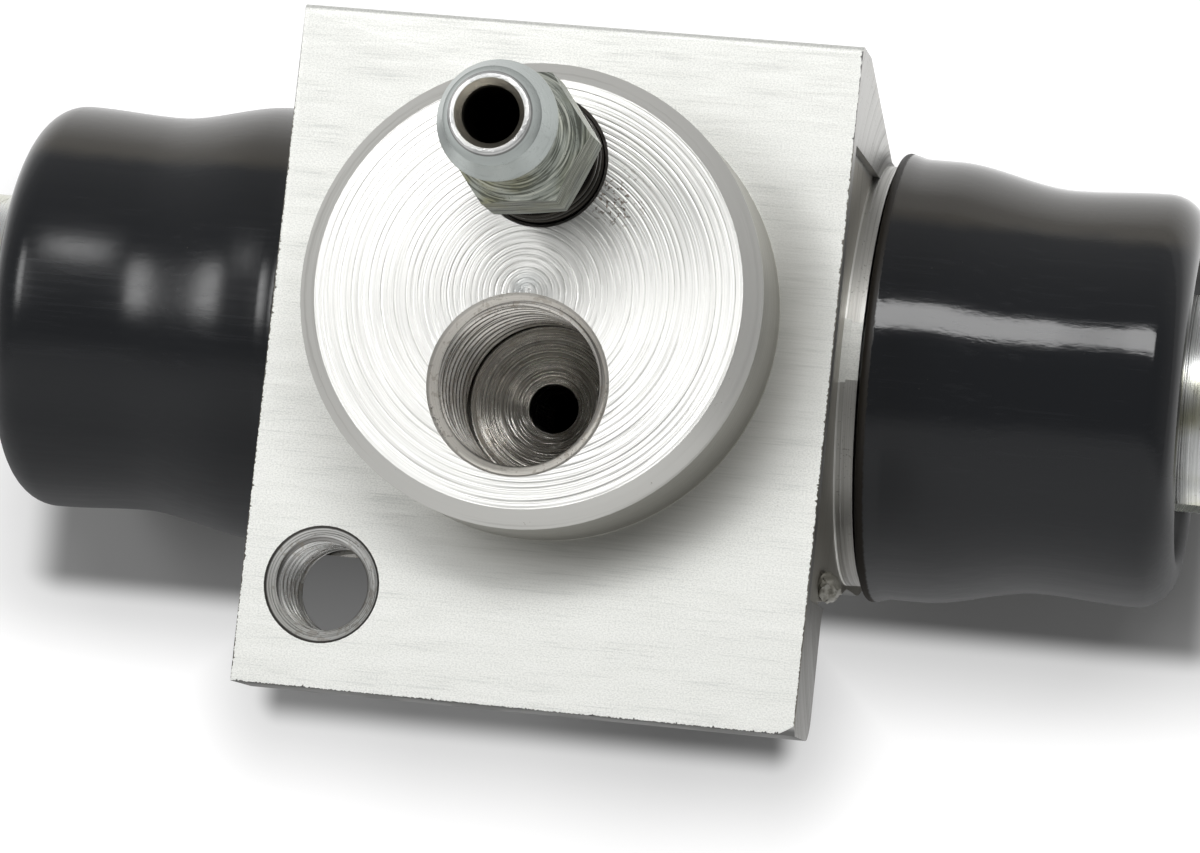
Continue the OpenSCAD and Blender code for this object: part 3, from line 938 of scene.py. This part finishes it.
def make_burr(finish):
    """A torn lump left on the block's right end below the neck."""
    sphere = bpy.ops.mesh.primitive_ico_sphere_add
    burr = add(sphere, "torn_burr", subdivisions=4, radius=MM)
    bpy.ops.object.mode_set(mode="EDIT")
    bpy.ops.mesh.select_all(action="SELECT")
    bpy.ops.transform.vertex_random(offset=0.6 * MM, seed=5)
    bpy.ops.mesh.vertices_smooth(factor=0.5, repeat=2)
    bpy.ops.transform.resize(value=BURR_STRETCH)
    bpy.ops.transform.translate(value=BURR_PLACE)
    bpy.ops.mesh.normals_make_consistent(inside=False)
    done()
    burr.data.materials.append(finish)
    smooth(burr, 80)
    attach(burr, "housing")


def in_hole(centre, axis, mouth_r, top):
    """Whether a face lies in a hole of the block, below the surface it was drilled from."""
    near_axis = (centre.xy - axis.xy).length < mouth_r + MOUTH_SLACK
    return near_axis and HOLES_LOW < centre.z < top - NEAR


def block_finish(centre, normal):
    """The finish that a face of the block has, from its place."""
    faces_up, faces_end = normal.z > 0.99, abs(normal.x) > 0.9
    if faces_up and abs(centre.z) < NEAR:
        return PLATE
    in_port = in_hole(centre, port, PORT_MOUTH_R, spigot_top)
    if in_port or in_hole(centre, bleed_axis, BLEED_MOUTH_R, spigot_top):
        return PORT_WALL
    if in_hole(centre, bolt, BOLT_MOUTH_R, 0) and abs(normal.x) < 0.99:
        return BOLT_WALL
    if centre.z > 0.05 * MM:
        return FACE if faces_up else RIM
    by_head_edge = centre.y > body_high.y - HEAD_EDGE and centre.z > -HEAD_EDGE
    if faces_up or by_head_edge and normal.z > 0.2:
        return PLATE
    along = abs(centre.x)
    if abs(along - FACED_END) < NEAR and faces_end:
        return END
    from_axis = Vector((centre.y, centre.z - bore_axis.z)).length
    on_collar = along > FACED_END + NEAR and not faces_end and from_axis < COLLAR_R + 0.1 * MM
    if along > BLOCK_HALF + NEAR or from_axis < 9 * MM or on_collar:
        return NECK
    slack = 0.05 * MM
    in_step = FACED_END < along < BLOCK_HALF and centre.z < FACED_FRONT + slack
    in_step = in_step and FACED_LOW - slack < centre.y < FACED_HIGH + slack
    return END if faces_end or in_step else SKIN


def make_block():
    """The CAD body with its facing cuts, threads, torn edges and finishes."""
    block = copy_of_node("body", "machined_block")
    edit_all(block)
    bpy.ops.mesh.dissolve_limited(angle_limit=math.radians(0.3))
    done()
    port_start = spigot_top + 0.6 * THREAD_PITCH
    port_turns = round((port_start - PORT_THREAD_END) / THREAD_PITCH)
    for side in (-1, 1):
        boolean(block, end_facing(side), "DIFFERENCE")
    boolean(block, port_relief(), "DIFFERENCE")
    for hole, root_r, crest_r, start, turns in (
        (port, port_r, PORT_CREST_R, port_start, port_turns),
        (bolt, bolt_r, BOLT_CREST_R, 0.7 * THREAD_PITCH, 9),
    ):
        coil = thread_coil(hole, root_r - THREAD_SUNK, crest_r, start, turns)
        boolean(block, coil, "DIFFERENCE")
    edit(block)
    close_up()
    done()
    chip_corner(block)
    tear_edges(block)
    port_tones = {"outline": 0.3, "fresh": 0.85, "dull": (0.46, 0.43, 0.39), "clean": (0.93, 0.9, 0.84)}
    bolt_tones = {"outline": 0.95, "fresh": 0.1, "dull": (0.34, 0.335, 0.32), "clean": (0.88, 0.88, 0.86)}
    for finish in (
        milled_plate(), turned_face(), turned_rim(), sawn_end(), turned_neck(), extruded_skin(),
        tapped_hole("tapped_port", port, port_r, PORT_CREST_R, PORT_MOUTH_R, **port_tones),
        tapped_hole("tapped_bolt_hole", bolt, bolt_r, BOLT_CREST_R, BOLT_MOUTH_R, **bolt_tones),
    ):
        block.data.materials.append(finish)
    for face in block.data.polygons:
        face.material_index = block_finish(face.center, face.normal)
    smooth(block)
    make_burr(torn_metal())
    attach(block, "housing")
    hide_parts("body")


# The bleed screw

def make_bleed_screw():
    """Hexagon, hose nipple, threaded stem and drillings."""
    seat, tip = bleed_low.z, bleed_high.z
    hex_low, hex_high, hex_turn = 11.4 * MM, 16.4 * MM, math.radians(7.4)
    flat_r = 3.5 * MM
    corner_r = flat_r / math.cos(math.radians(30))
    face_r, outer_r = flat_r - 0.22 * MM, corner_r + 1 * MM
    bulb_r, waist_r, stem_r, thread_r = 3.275 * MM, 2.5 * MM, 3.0 * MM, 3.5 * MM
    drill_r, bore_r, mouth_r = 0.9 * MM, 1.55 * MM, 1.92 * MM
    hair = 0.0001 * MM

    screw = add(
        bpy.ops.mesh.primitive_cylinder_add, "bleed_screw_turned",
        vertices=6, radius=corner_r, depth=hex_high - hex_low,
        location=(bleed_axis.x, bleed_axis.y, (hex_low + hex_high) / 2),
        rotation=(0, 0, hex_turn + math.pi / 6),
    )
    bpy.ops.object.transform_apply()
    low_bevel, high_bevel = ((outer_r - face_r) * math.tan(math.radians(a)) for a in (30, 50))
    cone = [
        (0, hex_low - 1 * MM), (face_r, hex_low - hair), (outer_r, hex_low + low_bevel),
        (outer_r, hex_high - high_bevel), (face_r, hex_high + hair), (0, hex_high + 1 * MM),
    ]
    boolean(screw, lathe_upright("hexagon_bevel", cone, bleed_axis), "INTERSECT")

    stem = [(0, seat), (1.3 * MM, seat), (stem_r, seat + 1.7 * MM), (stem_r, -1.1 * MM)]
    stem += [(thread_r, -0.6 * MM), (thread_r, 10.0 * MM), (stem_r, 10.5 * MM), (stem_r, 15.0 * MM)]
    stem += [(3.4 * MM, 16.2 * MM), (waist_r + 0.3 * MM, 17.4 * MM)]
    stem += [(waist_r, 18.2 * MM), (waist_r, 20.3 * MM)]
    stem += [(bulb_r - 0.25 * MM, 21.05 * MM)]
    stem += arc((bulb_r - 0.25 * MM, 21.35 * MM), 0.25 * MM, -60, 35, 6)
    stem += [(2.66 * MM, tip - 0.86 * MM), (2.58 * MM, tip - 0.8 * MM), (2.3 * MM, tip - 0.28 * MM)]
    stem += arc((2.07 * MM, tip - 0.14 * MM), 0.14 * MM, 10, 90, 4)
    stem += [(0, tip)]
    boolean(screw, lathe_upright("stem", stem, bleed_axis), "UNION")

    hole = [(0, -2.5 * MM), (drill_r, -2.5 * MM), (drill_r, 15.6 * MM), (bore_r, 16.4 * MM)]
    hole += [(bore_r, tip - 0.45 * MM), (1.8 * MM, tip - 0.12 * MM), (mouth_r, tip + 0.05 * MM)]
    hole += [(mouth_r, tip + 1 * MM), (0, tip + 1 * MM)]
    boolean(screw, lathe_upright("drilling", hole, bleed_axis), "DIFFERENCE")
    coil = thread_coil(bleed_axis, thread_r + THREAD_SUNK, stem_r, 10.4 * MM, 11)
    boolean(screw, coil, "DIFFERENCE")
    screw.data.materials.clear()
    screw.data.materials.append(zinc_screw())
    smooth(screw, 26)
    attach(screw, "bleeder")
    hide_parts("bleed_screw")


# The rubber boots

def boot_section():
    """Outline of a boot as radius and distance along the bore from the block's middle, in mm."""
    start, end = boot_low.x / MM, boot_high.x / MM
    flare, waist, bulge, round_r = 13.1, 11.95, 12.2, 2.3
    skirt_in, land_in, lip_in, wall = 11.48, 12.08, 6.13, 1.2
    swing_start, swing_end, bulge_end = start + 3.2, start + 10.2, end - round_r
    rim_r, lip_end = bulge - round_r, end - 4.2

    def swing(first, last, low, high, steps):
        return [
            (first + (last - first) * ease(i / steps), low + (high - low) * i / steps)
            for i in range(steps + 1)
        ]

    section = [(skirt_in, start)]
    section += arc((flare - 0.1, start + 0.35), 0.35, -90, 10, 6)
    section += [(flare + 0.15, start + 0.8), (flare + 0.02, start + 1.25)]
    section += [(flare, start + 1.6), (flare, start + 2.4)]
    section += swing(flare, waist, swing_start, swing_end, 16)
    section += swing(waist, bulge, swing_end, bulge_end, 8)[1:-1]
    section += arc((rim_r, bulge_end), round_r, 0, 90, 12)
    section += arc((rim_r - 0.1, end - 0.6), 0.6, 90, 170, 5)
    section += [(8.6, lip_end + 0.9), (7.9, lip_end + 0.2), (7.5, lip_end)]
    section += [(6.75, lip_end - 0.08), (lip_in, lip_end - 0.12)]
    section += [(lip_in, lip_end - 1.9), (7.45, lip_end - 1.92), (rim_r - 0.6, end - 2.58)]
    section += [(bulge - wall, bulge_end - 1.38), (waist - wall, swing_end)]
    section += [(waist - wall, swing_start + 4.65), (land_in, neck_end / MM + 0.3)]
    section += [(land_in, start + 2.32), (skirt_in, start + 2.3), (skirt_in, start)]
    return section


def make_boots(rubber):
    """Both boots, which stretch between the block's necks and the pistons."""
    for side, hand in ((-1, "left"), (1, "right")):
        section = [Vector((side * x * MM, 0, bore_axis.z + r * MM)) for r, x in boot_section()]
        boot = lathe("dust_boot_" + hand, section, bore_axis, (1, 0, 0), 128)
        boot.data.materials.append(rubber)
        smooth(boot, 35)
        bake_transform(boot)
        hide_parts("boot_" + hand)


# The spring, in two halves

def make_spring(steel):
    """Both halves of the CAD spring, cut at the middle of the bore."""
    for side, hand in ((-1, "left"), (1, "right")):
        half = copy_of_node("spring", "return_spring_" + hand)
        edit_all(half)
        bpy.ops.mesh.bisect(
            plane_co=bore_axis, plane_no=(side, 0, 0), use_fill=True, clear_inner=True,
        )
        done()
        half.data.materials.append(steel)
        smooth(half, 60)
        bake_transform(half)
        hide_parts("spring")


def finish_node(name, material):
    """Gives a CAD node that stays in view its material."""
    data = frame["nodes"][name].data
    data.materials.clear()
    data.materials.append(material)


make_block()
make_bleed_screw()
make_boots(boot_rubber())
steel = spring_steel()
make_spring(steel)
piston_finish, cup_finish = zinc_piston(), seal_rubber()
for hand in ("left", "right"):
    finish_node("piston_" + hand, piston_finish)
    finish_node("cup_seal_" + hand, cup_finish)
    finish_node("spring_seat_" + hand, steel)


# Floor, light and camera

def make_floor():
    """A pale floor: white round the part, with a painted shadow where its glow is held down near the part, and
    dimmer far outside the picture.
    """
    floor = add(bpy.ops.mesh.primitive_plane_add, "floor", size=6, location=(0, 0, floor_z))
    bpy.ops.object.transform_apply()
    material = bpy.data.materials.new("pale_floor")
    material.use_nodes = True
    tree = material.node_tree
    tree.nodes.remove(tree.nodes["Principled BSDF"])
    path = node(tree, "LightPath")
    place = node(tree, "TexCoord").outputs["Object"]
    seen = maths("MAXIMUM", path.outputs["Is Camera Ray"], path.outputs["Is Glossy Ray"])
    seen = maths("MAXIMUM", seen, path.outputs["Is Transmission Ray"])

    def gap_to_box(centre, half, softness=(1, 1, 1)):
        """Distance outside a box, less in the directions that are to fade softly."""
        away = vector_maths("ABSOLUTE", vector_maths("SUBTRACT", place, centre))
        away = vector_maths("MAXIMUM", vector_maths("SUBTRACT", away, half))
        away = vector_maths("MULTIPLY", away, softness)
        return measure("LENGTH", away)

    # Painted shadow: the glow is held down inside boxes round the block and the boots and rises over a few mm
    # outside them; the diffuse floor keeps the real shadow.
    by_block = gap_to_box((-5 * MM, -5.9 * MM, floor_z), (15.5 * MM, 16 * MM, MM))
    half_l = boot_high.x / 2
    soft_ends = (0.6, 1, 1)
    by_left = gap_to_box((-half_l, -3.9 * MM, floor_z), (half_l, 11.3 * MM, MM), soft_ends)
    by_right = gap_to_box((half_l, -3.0 * MM, floor_z), (half_l, 10.3 * MM, MM), soft_ends)
    gap = maths("MINIMUM", by_block, maths("MINIMUM", by_left, by_right))
    close, wide = ramp(gap, 0.0, 2.0 * MM, 0.0, 0.48), ramp(gap, 0.0, 9 * MM, 0.0, 0.4)
    lit = plus(close, wide)
    reach = axis_distance(vector_maths("DIVIDE", place, (48 * MM, 33 * MM, 1)))
    lit = times(lit, ramp(reach, 1.12, 3.2, 1.0, 0.4))
    strength = times(seen, lit)
    glow = join("Emission", {"Color": (1, 1, 1, 1), "Strength": strength})
    cloth = node(tree, "BsdfDiffuse", {"Color": (0.37, 0.37, 0.37, 1)})
    both = join("AddShader", {0: cloth.outputs[0], 1: glow.outputs[0]})
    set_socket(tree.nodes["Material Output"], "Surface", both.outputs[0])
    floor.data.materials.append(material)


def make_sky():
    """A studio dome: a panel in front, a faint rear and a horizon brighter than the top."""
    world = bpy.data.worlds.new("studio")
    bpy.context.scene.world = world
    world.use_nodes = True
    tree = world.node_tree
    way = split(node(tree, "TexCoord").outputs["Generated"])
    across, up = way["Y"], way["Z"]
    front = ramp(across, -0.35, -0.6, 0.0, 0.4)
    rear = ramp(across, 0.1, 0.95, 0.0, 0.1)
    level = plus(plus(front, rear), ramp(up, 0.0, 0.9, 0.4, 0.2))
    background = tree.nodes["Background"]
    background.inputs["Color"].default_value = (1, 1, 1, 1)
    set_socket(background, "Strength", level)


def add_softbox(name, place, target, width, height, radiance, soft_edges=False):
    """An area lamp that faces a point, with its brightness given as radiance."""
    lamp = add(bpy.ops.object.light_add, name, type="AREA", location=place)
    lamp.data.shape = "RECTANGLE"
    lamp.data.size, lamp.data.size_y = width, height
    lamp.data.energy = radiance * math.pi * width * height
    lamp.rotation_euler = (Vector(target) - Vector(place)).to_track_quat("-Z", "Y").to_euler()
    if soft_edges:
        lamp.data.use_nodes = True
        tree = lamp.data.node_tree
        place_on_lamp = split(node(tree, "NewGeometry").outputs["Parametric"])
        level, fade = 1.0, 0.3
        for way in ("X", "Y"):
            level = times(ramp(place_on_lamp[way], 0.0, fade), level)
            level = times(ramp(place_on_lamp[way], 1.0, 1 - fade), level)
        set_socket(tree.nodes["Emission"], "Strength", level)


def make_camera():
    """The camera that was fitted to the photograph."""
    camera = add(bpy.ops.object.camera_add, "camera", location=CAMERA_PLACE)
    camera.rotation_euler = [math.radians(a) for a in CAMERA_TURN]
    camera.data.sensor_fit = "HORIZONTAL"
    camera.data.sensor_width = CAMERA_SENSOR
    camera.data.lens = CAMERA_LENS
    camera.data.clip_start, camera.data.clip_end = 0.01, 20
    bpy.context.scene.camera = camera


make_floor()
make_sky()
add_softbox("strip_softbox", (0.21, 0.446, 0.88), (0.21, 0, -0.015), 0.66, 0.24, 8.6)
add_softbox("strip_end", (-0.165, 0.446, 0.88), (-0.165, 0, -0.015), 0.09, 0.2, 8.0)
add_softbox("left_softbox", (-0.53, 0.15, 0.85), (-0.02, 0.15, -0.01), 0.62, 0.36, 7.4, soft_edges=True)
make_camera()
bpy.context.scene.view_settings.view_transform = "Standard"
